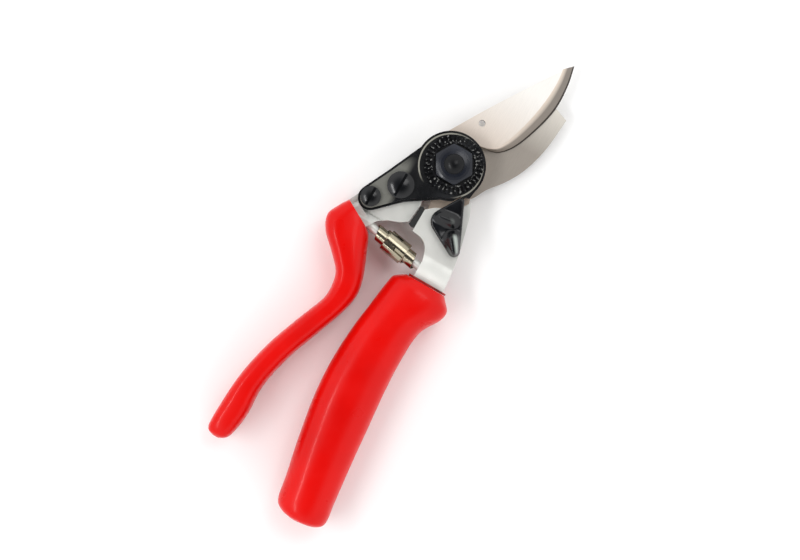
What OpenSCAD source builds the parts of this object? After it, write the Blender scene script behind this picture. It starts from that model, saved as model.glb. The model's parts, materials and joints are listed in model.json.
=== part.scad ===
// Bypass pruner with a rolling lower handle, a thumb catch and a volute spring, closed and locked.
// Millimetres. The origin is on the pivot axis, in the plane that the pruner lies on.
// +X runs to the jaws, +Y to the fixed handle, +Z away from the surface the pruner lies on.

/* [Jaws] */
// Thickness of the cutting blade
blade_t = 3.2; // [3:0.1:3.3]
// Thickness of the hooked counter blade
hook_t = 3.5; // [3.2:0.1:3.6]
// Radius of the round hole through the blade
blade_hole_r = 1.3; // [1:0.1:1.6]
// Thickness left at the very edge of the blade
edge_t = 0.3; // [0.2:0.05:0.6]

/* [Pivot] */
// Radius of the pivot bolt's shank
bolt_r = 4; // [3.6:0.1:4.2]
// Radius of the pivot bolt's flat head
bolt_head_r = 7.2; // [6:0.1:8]
// Thickness of the pivot bolt's head
bolt_head_t = 2.4; // [2:0.1:2.6]
// Number of slots around the toothed lock ring
ring_teeth = 38; // [24:1:40]
// Radius of the domed nut's corners
nut_r = 8.2; // [7.8:0.1:8.4]

/* [Pivot plate] */
// Radius of the plate's round head
head_r = 13.8; // [13.5:0.1:14]
// Thickness of the pivot plate
plate_t = 3.7; // [3.2:0.1:4]

/* [Handles] */
// Thickness of the handle tongue between counter blade and pivot plate
tongue_t = 5.9; // [5.6:0.1:6.2]
// Thickness of the moving arm over the blade's tang
arm_t = 4.8; // [4.6:0.1:5]
// Thickness of the dipped grip at its sides
grip_wall = 1.9; // [1.6:0.1:2.2]
// Half of the core's thickness inside the fixed grip
core_half = 4.8; // [4:0.1:4.9]

/* [Rolling handle] */
// Radius of the spindle that the rolling handle turns on
spindle_r = 3.2; // [3:0.1:3.4]
// Outer radius of the rolling sleeve's tube
tube_r = 6.2; // [6:0.1:6.3]
// Radius of the two bushes in the rolling sleeve
bush_r = 4.9; // [4.6:0.1:5]

/* [Thumb catch] */
// Thickness of the catch lever
catch_t = 3.2; // [2.8:0.1:3.6]
// Height of the hump over the catch's pin
hump_t = 1.9; // [1:0.1:2.4]
// Height of the thumb pad above the lever
pad_t = 2.9; // [2:0.1:3.5]

/* [Spring] */
// Largest radius of the volute spring
spring_r = 4.5; // [4.4:0.1:4.8]
// Radius of the spring's two ends
spring_end_r = 2.7; // [2.6:0.05:2.8]
// Half the length of the slit sleeve in the middle of the spring
sleeve_half = 4.7; // [4:0.1:5.5]
// Thickness of the spring strip
strip_t = 0.5; // [0.4:0.05:0.5]

/* [Hidden] */
$fn = 64;

// Clearances
run = 0.05;
snug = 0.02;
eps = 0.01;

// Levels of the stacked pieces, from the surface upwards
z_hook = bolt_head_t;
z_blade = z_hook + hook_t + run;
z_arm = z_blade + blade_t;
z_plate = z_hook + hook_t + tongue_t;
z_plate_top = z_plate + plate_t;
washer_t = 0.3;
z_catch = z_arm + arm_t + washer_t;
z_catch_top = z_catch + catch_t;
rim_step = 0.9;
rim_w = 0.9;

// Pivot plate: head, screw seat and rounded end
head_c = [-1, 0.8];
seat_c = [-17, 14.4];
seat_r = 7.1;
end_c = [-27.5, 21.9];
end_r = 4.9;
boss_r = 12.3;
root_r = 12.4;
clear_r = 14.3;

// Screws through the fixed side
large_c = [-17.3, 14];
large_head_r = 5.3;
small_c = [-27, 22];
small_head_r = 4;
shank_r = 2.2;

// Blade screws and catch pin
tang_screws = [[-20.5, -13.4], [-31.5, -11.5]];
tang_screw_r = 1.7;
tang_head_r = 3.2;
catch_c = [-21.5, -7.6];
catch_r = 2.2;
catch_pin_top = z_catch_top - 0.8;

bush_wall = 1.5;

// Rolling handle: axis height and stations along X
roll_y = -12.4;
roll_z = 11.5;
arm_end = -45.5;
collar_t = 0.9;
spindle_front = -40.2;
sleeve_front = -46.5;
sleeve_rear = -128;
cavity_rear = -134.5;
bush_len = 12;

// Volute spring: both seats, and the turns on each side of the middle
spring_top = [-37.3, 14.9, roll_z];
spring_foot = [-41.2, -7.6, roll_z];
end_turns = 2;
slit_angle = -75;
steps_per_turn = 24;
peg_r = 1.8;

// Fixed grip: matching points on its outer and inner side, the first with half the height there
grip_z = 10;
grip_core_z = 9.5;
grip_outer = [
    [-139, 29.6, 3.6], [-136.6, 32.4, 7.2], [-126, 32.5, 8.7], [-112, 31.4, 9.4], [-97, 28, 9.8],
    [-82, 22.6, 9.9], [-71, 18.3, 9.9], [-64.5, 18, 9.9], [-59, 19.6, 9.9], [-53.5, 24.6, 9.9],
    [-47.5, 30.8, 9.7], [-41.5, 33.4, 9.3], [-36.5, 31.5, 8.9], [-32.2, 28.8, 8.5]
];
grip_inner = [
    [-139, 26.2], [-136, 23], [-126, 21.3], [-113, 21.6], [-98, 18.4], [-84, 13.3], [-72, 9],
    [-64, 7.4], [-57.5, 8.3], [-51.5, 10.5], [-46, 12.8], [-42.2, 14.4], [-39.8, 15.9], [-38.3, 17.7]
];
grip_power = 3.2;
grip_stations = 44;
grip_sides = 32;
core_first = 2.2;

// Rolling grip, in the same way, from its closed end to its mouth
roll_outer = [
    [-151.8, -12.6, 5.5], [-150.6, -8.3, 8.6], [-147.5, -5.5, 10.2], [-138, -3.7, 10.9],
    [-122, -0.4, 11.3], [-105, 2.4, 11.45], [-90, 3.3, 11.45], [-75, 2.6, 11.45], [-64, 1.2, 11.4],
    [-56, 0.2, 11.2], [-51.4, -0.5, 10.9], [-49.4, -1.2, 10.5], [-47.8, -3.1, 9.7], [-46.5, -5.1, 8.9]
];
roll_inner = [
    [-151.3, -20.2], [-150.2, -24.3], [-147, -26.8], [-138, -25.8], [-122, -24], [-105, -22.4],
    [-90, -21], [-75, -20.45], [-64, -21.4], [-56, -25.8], [-52.4, -26.7], [-50.4, -26], [-48.3, -24.1],
    [-46.5, -22.5]
];
roll_power = 2.3;
roll_stations = 44;
roll_sides = 32;
cavity_r = tube_r + 0.06;

// A point at an angle on a circle, and a run of such points.
function on(c, r, a) = c + r * [cos(a), sin(a)];
function arc(c, r, from, to, n = 24) = [for (i = [0 : n]) on(c, r, from + (to - from) * i / n)];

// A smooth curve through the points p: the place at t, and n + 1 places along it.
function curve_at(p, t) =
    let (i = min(floor(t), len(p) - 2), u = t - i)
    let (a = p[max(i - 1, 0)], b = p[i], c = p[i + 1], d = p[min(i + 2, len(p) - 1)])
    (2 * b + (c - a) * u + (2 * a - 5 * b + 4 * c - d) * pow(u, 2) + (3 * b - a - 3 * c + d) * pow(u, 3)) / 2;
function curve(p, n) = [for (i = [0 : n]) curve_at(p, i * (len(p) - 1) / n)];

// A closed superellipse ring standing on the line from a to b, with half height h about height z.
function bulge(v, power) = sign(v) * pow(abs(v), 2 / power);
function ring(a, b, z, h, power, sides) =
    let (c = (a + b) / 2, half = (a - b) / 2)
    [for (i = [0 : sides - 1]) let (
        u = bulge(cos(i * 360 / sides), power),
        v = bulge(sin(i * 360 / sides), power)
    ) [c.x + half.x * u, c.y + half.y * u, z + h * v]];

function reversed(v) = [for (i = [len(v) - 1 : -1 : 0]) v[i]];

// A solid skin over rings of equal length, flat at both ends. The rings turn clockwise along the way.
module loft(rings) {
    n = len(rings[0]);
    last = len(rings) - 1;
    sides = [for (j = [0 : last - 1], i = [0 : n - 1]) let (
        a = j * n + i,
        b = j * n + (i + 1) % n
    ) each [[a, b, b + n], [a, b + n, a + n]]];
    polyhedron(
        points = [for (r = rings) each r],
        faces = concat(
            [[for (i = [n - 1 : -1 : 0]) i]],
            sides,
            [[for (i = [0 : n - 1]) last * n + i]]
        )
    );
}

// Two circles joined by their common tangents.
module link(c1, r1, c2, r2) {
    d = c2 - c1;
    lean = atan2(d.y, d.x);
    spread = acos((r1 - r2) / norm(d));
    translate(c1) circle(r1);
    translate(c2) circle(r2);
    polygon([
        on(c1, r1, lean + spread),
        on(c1, r1, lean - spread),
        on(c2, r2, lean - spread),
        on(c2, r2, lean + spread)
    ]);
}

// A cylinder standing at a plan position, from one height to another.
module post(c, r, from, to) {
    translate([c.x, c.y, from]) cylinder(h = to - from, r = r);
}

// A plan outline raised from one height to another.
module slab(from, to) {
    translate([0, 0, from]) linear_extrude(to - from) children();
}

// A disc or tube along the rolling axis, from a lower to a higher X.
module along_roll(from, to, r) {
    translate([from, roll_y, roll_z]) rotate([0, 90, 0]) cylinder(h = to - from, r = r);
}

// A domed, slotted screw head standing on a height.
module screw_head(c, r, base, h, slot_w) {
    dome_r = (r * r + h * h) / (2 * h) * 1.6;
    edge_h = h * 0.45;
    difference() {
        intersection() {
            post(c, r, base, base + h);
            translate([c.x, c.y, base + h - dome_r]) sphere(dome_r, $fn = 96);
        }
        translate([c.x, c.y, base + h]) cube([3 * r, slot_w, 2 * edge_h], center = true);
    }
}

// A pan head below a height, slotted on its underside.
module pan_head(c, r, top, h, slot_w) {
    difference() {
        post(c, r, top - h, top);
        translate([c.x, c.y, top - h]) cube([3 * r, slot_w, h], center = true);
    }
}

// Plan of the pivot plate, all round smaller by inset.
module plate_plan(inset) {
    translate(head_c) circle(head_r - inset);
    link(end_c, end_r - inset, seat_c, seat_r - inset);
    link(seat_c, seat_r - inset, head_c, head_r - rim_w - inset);
}

// Rings inside the fixed grip, where its core is.
function core_ring(t) =
    let (a = curve_at(grip_outer, t), b = curve_at(grip_inner, t), p = [a.x, a.y])
    let (pull = grip_wall * (p - b) / norm(p - b))
    ring(p - pull, b + pull, grip_core_z, core_half, grip_power, grip_sides);
core_last = len(grip_outer) - 1;
core_rings = [for (i = [0 : grip_stations]) core_ring(core_first + (core_last - core_first) * i / grip_stations)];

// The core's own end, carried a little way into the arm.
tongue_shift = [2.2, -1.4, 0];
core_end = [for (p = core_rings[grip_stations]) p + tongue_shift];

module left_arm_plan() {
    polygon(concat(
        [[-32.2, 28.8], [-26.2, 25.9], [-14.3, 20.4]],
        arc([0, 0], clear_r, 120, 163),
        [[-18.2, 5.2], [-18.4, 3.9], [-20, 3.35], [-28, 4.15], [-30, 7], [-31.7, 11.6], [-34.2, 15.2]],
        [[-38.3, 17.7]]
    ));
}

// The fixed arm thickens towards its grip.
module left_arm_side() {
    polygon([
        [-45, grip_core_z - core_half - 0.4], [-36, grip_core_z - core_half - 0.4],
        [-32.8, z_hook + hook_t], [0, z_hook + hook_t], [0, z_plate],
        [-32.8, z_plate], [-33.4, z_plate + 1.2], [-36, grip_core_z + core_half + 0.4],
        [-45, grip_core_z + core_half + 0.4]
    ]);
}

module left_handle() color([0.86, 0.86, 0.85]) {
    difference() {
        union() {
            intersection() {
                slab(0, 30) left_arm_plan();
                translate([0, 40, 0]) rotate([90, 0, 0]) linear_extrude(60) left_arm_side();
            }
            loft(reversed(concat(core_rings, [core_end])));
        }
        post(large_c, shank_r + snug, 0, 30);
        post(small_c, shank_r + snug, 0, 30);
    }
    spring_peg(spring_top, -3, 2.4);
}

module left_grip() color([0.9, 0.08, 0.05]) {
    outer = curve(grip_outer, grip_stations);
    inner = curve(grip_inner, grip_stations);
    skin = [for (i = [grip_stations : -1 : 0])
        ring([outer[i].x, outer[i].y], inner[i], grip_z, outer[i].z, grip_power, grip_sides)];
    loft(concat(core_rings, skin));
}

module hook_plan() {
    jaw = concat(
        curve([[-9.6, -8.2], [-7.6, -12.7], [-1.5, -16.2], [5, -21.2], [13, -25.5], [24, -28.5], [38, -29.8]], 36),
        [[40.6, -22.4]],
        curve([[40.6, -22.4], [31, -19], [22, -13.2], [15, -7.5], [11.9, -3.4]], 20)
    );
    polygon(jaw);
    circle(root_r);
    link([0, 0], root_r - 2, seat_c, seat_r - 1);
    link(seat_c, seat_r - 1, end_c, end_r - 0.6);
}

module counter_blade() color([0.62, 0.6, 0.57])
    difference() {
        slab(z_hook, z_hook + hook_t) hook_plan();
        post([0, 0], bolt_r + snug, 0, 20);
        post(large_c, shank_r + snug, 0, 20);
        post(small_c, shank_r + snug, 0, 20);
    }

module pivot_plate() color([0.09, 0.1, 0.12])
    difference() {
        union() {
            slab(z_plate, z_plate_top - rim_step) {
                plate_plan(0);
                polygon([[-3, -8], [-9.5, -8.4], [-8.5, -12], [-3, -12.6]]);
            }
            slab(z_plate_top - rim_step - eps, z_plate_top) plate_plan(rim_w);
            post([0, 0], boss_r, z_arm + run, z_plate + eps);
        }
        post([0, 0], bolt_r + snug, 0, 30);
        post(large_c, shank_r + snug, 0, 30);
        post(small_c, shank_r + snug, 0, 30);
        slab(0, 30) polygon([[-9.5, -8.4], [-9.5, -13], [-16, -13], [-16, -6.2], [-11.4, -7.2]]);
    }

module plate_screw(c, head, h) {
    screw_head(c, head, z_plate_top, h, 1.1);
    post(c, shank_r, 0.6, z_plate_top + eps);
}

module plate_screw_large() color([0.1, 0.11, 0.13]) plate_screw(large_c, large_head_r, 2.6);

module plate_screw_small() color([0.1, 0.11, 0.13]) plate_screw(small_c, small_head_r, 2.2);

module plate_nuts() color([0.14, 0.15, 0.16])
    for (c = [large_c, small_c])
        difference() {
            translate([c.x, c.y, 0.2]) cylinder(h = z_hook - 0.2, r = 4, $fn = 6);
            post(c, shank_r + snug, 0, 5);
        }

module pivot_bolt() color([0.16, 0.17, 0.19]) {
    tip = z_plate_top + 4.8;
    dome_r = 5.5;
    dome_h = 1.6;
    post([0, 0], bolt_head_r, 0, z_hook);
    post([0, 0], bolt_r, z_hook - eps, tip - dome_h);
    intersection() {
        post([0, 0], bolt_r - 0.2, tip - dome_h - eps, tip);
        translate([0, 0, tip - dome_r]) sphere(dome_r, $fn = 96);
    }
}

// A domed hexagon nut, one of its corners towards the fixed handle's side of the jaws.
module pivot_nut() color([0.1, 0.11, 0.13])
    intersection() {
        translate([0, 0, z_plate_top]) rotate(30) cylinder(h = 4, r = nut_r, $fn = 6);
        rotate_extrude()
            polygon(concat(
                [[bolt_r + snug, z_plate_top], [nut_r, z_plate_top]],
                [for (a = [80 : -10 : 30]) [nut_r * sin(a), z_plate_top + 1.2 + 2.4 * cos(a)]],
                [[bolt_r + snug, z_plate_top + 3.3]]
            ));
    }

module lock_ring() color([0.1, 0.11, 0.13]) {
    inner_r = nut_r + 0.1;
    outer_r = 11.6;
    base = 0.4;
    tooth = 1.1;
    slot_w = 0.95;
    difference() {
        post([0, 0], outer_r, z_plate_top, z_plate_top + base + tooth);
        post([0, 0], inner_r, z_plate_top - 1, z_plate_top + 5);
        for (i = [0 : ring_teeth - 1])
            rotate(i * 360 / ring_teeth)
                translate([inner_r + 0.7, -slot_w / 2, z_plate_top + base]) cube([4, slot_w, 3]);
    }
}

// Plan of the blade: back edge, cutting edge, round root and the tang under the moving arm.
edge_line = [[12.1, -8.8], [13.7, -13.2], [19.4, -17.8], [30, -21.8], [40, -23.9], [50, -23.5], [58.2, -21.8]];
bevel_line = [[12.4, -7.7], [15.4, -11.8], [21.6, -14.6], [31, -17.2], [40, -18.7], [48.5, -19.1], [54.6, -18.5]];

module blade_plan() {
    polygon(concat(
        arc([0, 0], root_r, 64, 174),
        [[-19.5, 0.3], [-30, -1.6], [-33.5, -6.8], [-35, -12], [-34, -19], [-20, -16.2], [-12.6, -13.6]],
        [[-8.6, -12.4]],
        arc([0, 0], root_r, 245, 340),
        curve(edge_line, 42),
        [[56.6, -20], [55, -18.7], [53.5, -18.3]],
        curve([[53.5, -18.3], [40, -9.3], [25, 0.2], [10, 9.1]], 12)
    ));
}

// The ground bevel's cutter: a thin wedge swept from the heel to just past the tip.
module bevel_cutter() {
    edge = concat(curve(edge_line, 30), [[60.6, -20.4]]);
    top = concat(curve(bevel_line, 30), [[57.4, -16.6]]);
    drop = blade_t - edge_t;
    z_top = z_blade + blade_t;
    loft([for (i = [0 : len(edge) - 1]) let (
        high = top[i] - 0.3 * (edge[i] - top[i]),
        low = top[i] + 1.5 * (edge[i] - top[i])
    ) [
        [high.x, high.y, z_top + 0.3 * drop],
        [low.x, low.y, z_top - 1.5 * drop],
        [low.x, low.y, z_top + 0.3 * drop]
    ]]);
}

module blade() color([0.82, 0.79, 0.75])
    difference() {
        slab(z_blade, z_blade + blade_t) blade_plan();
        bevel_cutter();
        post([20.1, -1.4], blade_hole_r, 0, 20);
        post([0, 0], bolt_r + bush_wall + snug, 0, 20);
        for (c = tang_screws) post(c, tang_screw_r + snug, 0, 20);
    }

module pivot_bush() color([0.7, 0.52, 0.25])
    difference() {
        post([0, 0], bolt_r + bush_wall, z_blade, z_arm);
        post([0, 0], bolt_r + run, 0, 20);
    }

module blade_screws() color([0.55, 0.56, 0.57])
    for (c = tang_screws) {
        pan_head(c, tang_head_r, z_blade, 1.6, 1);
        post(c, tang_screw_r, z_blade - eps, z_arm + 3.6);
    }

module right_arm_plan() {
    polygon(concat(
        [[-30.5, 1.1], [-20.9, 1.1]],
        curve([[-20.9, 1.1], [-18.4, -1.9], [-16.8, -5.2], [-15.4, -8.6], [-13.1, -11], [-9.6, -13.2]], 20),
        curve([[-9.6, -13.2], [-14, -15.4], [-20, -17], [-30, -19.4], [-38, -20.6], [arm_end, -21.2]], 20),
        [[arm_end, -8.1], [-38.6, -8.1]],
        curve([[-38.6, -8.1], [-34, -6.5], [-31.3, -3.6], [-30.5, 1.1]], 12)
    ));
}

// A smooth step from point a to point b of a side profile.
function eased(a, b, n = 12) =
    [for (i = [0 : n]) let (t = i / n) [a.x + (b.x - a.x) * t, a.y + (b.y - a.y) * t * t * (3 - 2 * t)]];

// The moving arm thickens towards the spindle.
module right_arm_side() {
    half = spindle_r + 1.7;
    polygon(concat(
        [[arm_end - 1, roll_z - half]],
        eased([-44.5, roll_z - half], [-36.5, z_arm]),
        [[0, z_arm], [0, z_arm + arm_t]],
        eased([-35.4, z_arm + arm_t], [-44.8, roll_z + half]),
        [[arm_end - 1, roll_z + half]]
    ));
}

module right_arm() color([0.86, 0.86, 0.85]) {
    difference() {
        intersection() {
            slab(0, 30) right_arm_plan();
            translate([0, 20, 0]) rotate([90, 0, 0]) linear_extrude(50) right_arm_side();
        }
        along_roll(-50, spindle_front + 0.2, spindle_r + snug);
        for (c = tang_screws) post(c, tang_screw_r + snug, 0, z_arm + 3.7);
        post(catch_c, catch_r + snug, 0, 30);
        bumper_peg(1.2 + snug, -1.6);
    }
    spring_peg(spring_foot, -2.4, 1.2);
}

module bumper_peg(r, to) {
    translate([-25, 1.2, z_arm + arm_t / 2]) rotate([90, 0, 0]) cylinder(h = 1.2 - to, r = r, $fn = 32);
}

module bumper() color([0.08, 0.08, 0.08]) {
    slab(z_arm + 0.2, z_arm + arm_t - 0.2)
        polygon([[-29, 1.1], [-20.9, 1.1], [-20.3, 2.1], [-20.6, 3.1], [-28.8, 3.85], [-29.4, 2.4]]);
    bumper_peg(1.2, -1.5);
}

module spindle() color([0.6, 0.61, 0.62]) along_roll(-133, spindle_front, spindle_r);

module stop_collar() color([0.55, 0.05, 0.04])
    difference() {
        translate([arm_end - collar_t, roll_y, roll_z])
            rotate([90, 0, 90])
                linear_extrude(collar_t - run)
                    for (a = [-90, 180])
                        link([0, 0], 6.2, on([0, 0], 7.4, a), 2.9);
        along_roll(-50, -40, spindle_r + snug);
    }

module thrust_washer() color([0.7, 0.7, 0.7])
    difference() {
        along_roll(sleeve_rear - 1, sleeve_rear - 0.1, tube_r - 0.5);
        along_roll(-140, -120, spindle_r + run);
    }

module spindle_nut() color([0.5, 0.5, 0.5])
    difference() {
        translate([sleeve_rear - 4.6, roll_y, roll_z]) rotate([0, 90, 0]) cylinder(h = 3.5, r = 5.7, $fn = 6);
        along_roll(-140, -120, spindle_r + snug);
    }

module roller_core() color([0.75, 0.76, 0.77])
    difference() {
        along_roll(sleeve_rear, sleeve_front - 0.1, tube_r);
        along_roll(-140, -40, bush_r + snug);
    }

module bush(from) {
    difference() {
        along_roll(from, from + bush_len, bush_r);
        along_roll(-140, -40, spindle_r + run);
    }
}

module front_bush() color([0.9, 0.88, 0.8]) bush(sleeve_front - 0.1 - bush_len);

module rear_bush() color([0.9, 0.88, 0.8]) bush(sleeve_rear);

module roller_grip() color([0.9, 0.08, 0.05]) {
    outer = curve(roll_outer, roll_stations);
    inner = curve(roll_inner, roll_stations);
    skin = [for (i = [roll_stations : -1 : 0])
        ring([outer[i].x, outer[i].y], inner[i], roll_z, outer[i].z, roll_power, roll_sides)];
    bore = [for (x = [cavity_rear, sleeve_front])
        ring([x, roll_y + cavity_r], [x, roll_y - cavity_r], roll_z, cavity_r, 2, roll_sides)];
    loft(concat(bore, skin));
}

module catch_washer() color([0.6, 0.6, 0.6])
    difference() {
        post(catch_c, 3.8, z_arm + arm_t, z_catch - run);
        post(catch_c, catch_r + snug, 0, 30);
    }

module catch_pin() color([0.6, 0.6, 0.6]) post(catch_c, catch_r, z_arm + 0.1, catch_pin_top);

// Thumb catch: a hump over its pin, a nose behind the plate's tail, and a long end with the pad.
catch_end_r = 5;
tail_c = [-29.4, -16.9];
tail_r = 2.4;
nose_c = [-11.1, -9.6];
nose_r = 1.3;

module catch_plan() {
    link(catch_c, catch_end_r, tail_c, tail_r);
    link(catch_c, catch_end_r, nose_c, nose_r);
    link(tail_c, tail_r, nose_c, nose_r);
    polygon([catch_c, tail_c, nose_c]);
}

module thumb_catch() color([0.1, 0.12, 0.12])
    difference() {
        union() {
            slab(z_catch, z_catch_top) catch_plan();
            slab(z_catch_top - eps, z_catch_top + 0.6 * hump_t) link([-21.2, -6.8], 3, [-19.8, -10.4], 2.2);
            slab(z_catch_top - eps, z_catch_top + hump_t) link([-20.8, -7.4], 1.8, [-19.8, -10.6], 1);
            slab(z_catch_top - eps, z_catch_top + 0.6 * pad_t) link(tail_c, tail_r - 0.3, [-25.8, -14.2], 2.9);
            slab(z_catch_top - eps, z_catch_top + pad_t) link(tail_c, tail_r - 0.9, [-26.2, -14.6], 2);
        }
        post(catch_c, catch_r + run, 0, catch_pin_top + 0.1);
    }

// A frame whose +Z runs down the spring's axis, from its top seat.
module on_spring_axis(at) {
    d = spring_foot - spring_top;
    translate(at) rotate([90, 0, atan2(d.y, d.x) + 90]) children();
}

// A peg that keeps a spring end in place, from one distance to another along the spring's axis.
module spring_peg(at, from, to) {
    on_spring_axis(at) translate([0, 0, from]) cylinder(h = to - from, r = peg_r, $fn = 32);
}

// The strip at a number of turns from the middle. A slit sleeve in the middle runs on at one end into
// an upper coil and at the other into a lower one, each winding inwards as it leaves the sleeve.
spring_len = norm(spring_foot - spring_top) - 0.3;
sleeve_turns = 0.47;
dive_turns = 0.53;
slide_out = spring_len / 2 - sleeve_half;
function strip_r(u) =
    let (a = abs(u), outer = spring_r - strip_t, under = outer - strip_t - 0.15)
    a < sleeve_turns ? outer
    : a < dive_turns ? outer + (under - outer) * (a - sleeve_turns) / (dive_turns - sleeve_turns)
    : under + (spring_end_r - strip_t - under) * (a - dive_turns) / (end_turns - dive_turns);
function strip_far(u) = sleeve_half + slide_out * max(u - sleeve_turns, 0) / (end_turns - sleeve_turns);
function strip_near(u) =
    u < sleeve_turns + 0.001 ? -sleeve_half : 0.1 + slide_out * (u - sleeve_turns) / (end_turns - sleeve_turns);

// Places along the strip, in turns from the middle, with the sleeve's two ends met exactly.
coil_steps = ceil((end_turns - dive_turns) * steps_per_turn);
sleeve_steps = ceil(sleeve_turns * steps_per_turn);
upper_places = concat(
    [for (i = [1 : sleeve_steps]) sleeve_turns * i / sleeve_steps],
    [sleeve_turns + 0.002],
    [for (i = [0 : coil_steps]) dive_turns + (end_turns - dive_turns) * i / coil_steps]
);
places = concat([for (u = reversed(upper_places)) -u], [0], upper_places);

module volute_spring() color([0.8, 0.79, 0.75])
    on_spring_axis(spring_top)
        translate([0, 0, norm(spring_foot - spring_top) / 2])
            loft([for (u = places) let (
                r = strip_r(u),
                dir = [cos(360 * u + slit_angle), sin(360 * u + slit_angle)],
                low = u < 0 ? -strip_far(-u) : strip_near(u),
                high = u < 0 ? -strip_near(-u) : strip_far(u)
            ) [
                [dir.x * r, dir.y * r, low],
                [dir.x * (r + strip_t), dir.y * (r + strip_t), low],
                [dir.x * (r + strip_t), dir.y * (r + strip_t), high],
                [dir.x * r, dir.y * r, high]
            ]]);

left_handle();
left_grip();
counter_blade();
pivot_plate();
plate_screw_large();
plate_screw_small();
plate_nuts();
pivot_bolt();
pivot_nut();
lock_ring();
blade();
pivot_bush();
blade_screws();
right_arm();
bumper();
spindle();
stop_collar();
thrust_washer();
spindle_nut();
catch_pin();
catch_washer();
thumb_catch();
volute_spring();
roller_core();
roller_grip();
front_bush();
rear_bush();
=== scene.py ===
"""Bypass pruner, closed and locked, lying on a pale studio floor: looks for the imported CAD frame."""
import json
import math

import bmesh
import bpy
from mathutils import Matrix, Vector
from mathutils.geometry import convex_hull_2d, delaunay_2d_cdt


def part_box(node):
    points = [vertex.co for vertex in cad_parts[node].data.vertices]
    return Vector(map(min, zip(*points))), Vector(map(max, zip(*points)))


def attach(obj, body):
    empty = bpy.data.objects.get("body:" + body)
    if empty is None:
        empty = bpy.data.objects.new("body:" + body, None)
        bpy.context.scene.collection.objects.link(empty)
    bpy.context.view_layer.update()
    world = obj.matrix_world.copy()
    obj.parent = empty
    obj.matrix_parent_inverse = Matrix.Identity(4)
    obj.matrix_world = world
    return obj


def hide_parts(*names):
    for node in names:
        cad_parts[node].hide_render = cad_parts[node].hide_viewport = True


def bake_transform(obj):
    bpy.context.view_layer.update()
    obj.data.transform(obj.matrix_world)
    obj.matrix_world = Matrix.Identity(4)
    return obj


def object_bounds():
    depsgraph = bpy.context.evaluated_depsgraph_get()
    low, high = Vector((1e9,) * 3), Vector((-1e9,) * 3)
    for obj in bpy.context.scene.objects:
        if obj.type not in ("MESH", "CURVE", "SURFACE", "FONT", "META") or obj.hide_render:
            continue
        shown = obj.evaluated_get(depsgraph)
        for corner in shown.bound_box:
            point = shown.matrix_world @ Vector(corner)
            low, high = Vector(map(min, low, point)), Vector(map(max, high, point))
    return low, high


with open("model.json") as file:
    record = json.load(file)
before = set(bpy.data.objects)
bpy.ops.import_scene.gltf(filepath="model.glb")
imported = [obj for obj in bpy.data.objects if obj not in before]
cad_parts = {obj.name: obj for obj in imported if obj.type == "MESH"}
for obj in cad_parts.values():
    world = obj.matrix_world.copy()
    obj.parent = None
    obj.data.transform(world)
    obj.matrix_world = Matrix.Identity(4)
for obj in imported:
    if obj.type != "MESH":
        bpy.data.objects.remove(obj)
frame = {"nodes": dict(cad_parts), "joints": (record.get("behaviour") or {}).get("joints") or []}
cad_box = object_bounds()

MM = 0.001
JOINTS = {j["name"]: j for j in frame["joints"]}


# ---------------------------------------------------------------- curves and rings

def curve_at(points, t):
    """The place at t, from 0 to the last index, on a smooth curve through the points."""
    i = min(int(t), len(points) - 2)
    u = t - i
    a, b = Vector(points[max(i - 1, 0)]), Vector(points[i])
    c, d = Vector(points[i + 1]), Vector(points[min(i + 2, len(points) - 1)])
    bend = (2 * a - 5 * b + 4 * c - d) * u ** 2 + (3 * b - a - 3 * c + d) * u ** 3
    return (2 * b + (c - a) * u + bend) / 2


def curve(points, count):
    """count + 1 places along the smooth curve through the points."""
    last = len(points) - 1
    return [curve_at(points, i * last / count) for i in range(count + 1)]


def arc(center, radius, start, end, count):
    """Points on a circle, with angles in degrees."""
    angles = [math.radians(start + (end - start) * i / count) for i in range(count + 1)]
    return [Vector((center[0] + radius * math.cos(a), center[1] + radius * math.sin(a))) for a in angles]


def circle(center, radius, count):
    """count points all the way round a circle."""
    return arc(center, radius, 0, 360 - 360 / count, count - 1)


def bulge(value, power):
    """A cosine or sine pushed outwards, so that a circle becomes a squarer outline as the power grows."""
    return math.copysign(abs(value) ** (2 / power), value)


def ring(a, b, z, half, power, sides):
    """A superellipse standing on the line from a to b, with that half height about height z."""
    center = (a + b) / 2
    reach = (a - b) / 2
    points = []
    for i in range(sides):
        angle = 2 * math.pi * i / sides
        u = bulge(math.cos(angle), power)
        v = bulge(math.sin(angle), power)
        points.append((center.x + reach.x * u, center.y + reach.y * u, z + half * v))
    return points


# ---------------------------------------------------------------- meshes

WELD = 1e-7


def add_mesh(name, verts, faces, face_slots=None):
    """A mesh object from points in millimetres, with its normals pointing out."""
    mesh = bpy.data.meshes.new(name)
    mesh.from_pydata([tuple(c * MM for c in v) for v in verts], [], faces)
    if face_slots:
        mesh.polygons.foreach_set("material_index", face_slots)
    made = bmesh.new()
    made.from_mesh(mesh)
    bmesh.ops.remove_doubles(made, verts=made.verts, dist=WELD)
    bmesh.ops.recalc_face_normals(made, faces=made.faces)
    made.to_mesh(mesh)
    made.free()
    mesh.polygons.foreach_set("use_smooth", [True] * len(mesh.polygons))
    obj = bpy.data.objects.new(name, mesh)
    bpy.context.scene.collection.objects.link(obj)
    return obj


def loft(name, rings):
    """A skin over equal rings, with a flat cap on each end."""
    count = len(rings[0])
    verts = [p for r in rings for p in r]
    faces = []
    for j in range(len(rings) - 1):
        here = j * count
        there = here + count
        for i in range(count):
            k = (i + 1) % count
            faces.append((here + i, here + k, there + k, there + i))
    faces.append(tuple(reversed(range(count))))
    faces.append(tuple(range((len(rings) - 1) * count, len(rings) * count)))
    return add_mesh(name, verts, faces)


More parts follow.
